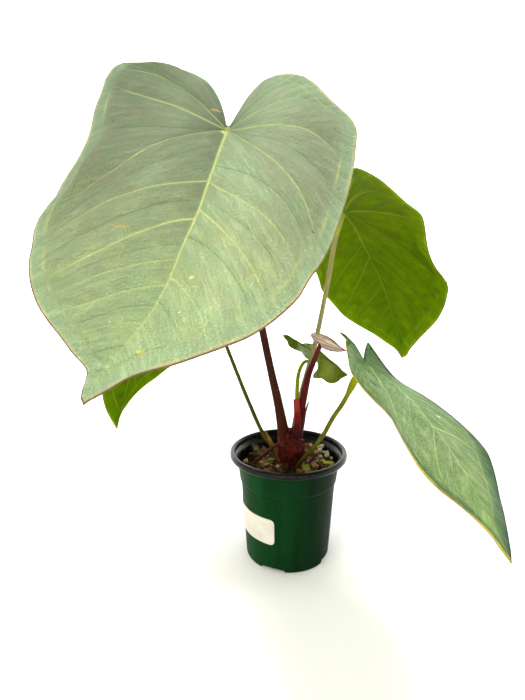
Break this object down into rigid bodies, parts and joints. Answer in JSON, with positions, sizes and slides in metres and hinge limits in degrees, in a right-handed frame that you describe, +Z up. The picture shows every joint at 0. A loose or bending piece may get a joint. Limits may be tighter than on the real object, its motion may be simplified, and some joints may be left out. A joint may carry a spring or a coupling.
{
  "type": "potted anthurium hybrid",
  "caption": "Potted anthurium with heart-shaped leaves on long petioles, rising from a knobbly crown in a round nursery pot of bark mix.",
  "frame": {"origin": "centre of the pot's underside, on the surface it stands on", "axes": "+Z up along the pot's axis, -Y towards the viewer of the picture, +X to the viewer's right"},
  "size_m": [0.3182, 0.3192, 0.4343],
  "materials": {
    "pot": "satin",
    "label": "satin",
    "soil": "matte",
    "crown": "matte",
    "aerial_root": "matte",
    "cataphyll_red": "satin",
    "cataphyll_dark": "satin",
    "cataphyll_ochre": "matte",
    "blade_large": "satin",
    "petiole_large": "satin",
    "blade_back": "satin",
    "petiole_back": "satin",
    "blade_right": "satin",
    "petiole_right": "satin",
    "blade_left": "satin",
    "petiole_left": "satin",
    "blade_small": "satin",
    "petiole_small": "satin",
    "blade_new": "satin",
    "petiole_new": "satin"
  },
  "bodies": {
    "root": {"pot": "pot", "label": "label", "soil": "soil", "crown": "crown", "aerial_root": "aerial_root", "cataphyll_red": "cataphyll_red", "cataphyll_dark": "cataphyll_dark", "cataphyll_ochre": "cataphyll_ochre", "blade_large": "blade_large", "petiole_large": "petiole_large", "blade_back": "blade_back", "petiole_back": "petiole_back", "blade_right": "blade_right", "petiole_right": "petiole_right", "blade_left": "blade_left", "petiole_left": "petiole_left", "blade_small": "blade_small", "petiole_small": "petiole_small", "blade_new": "blade_new", "petiole_new": "petiole_new"}
  },
  "joints": []
}
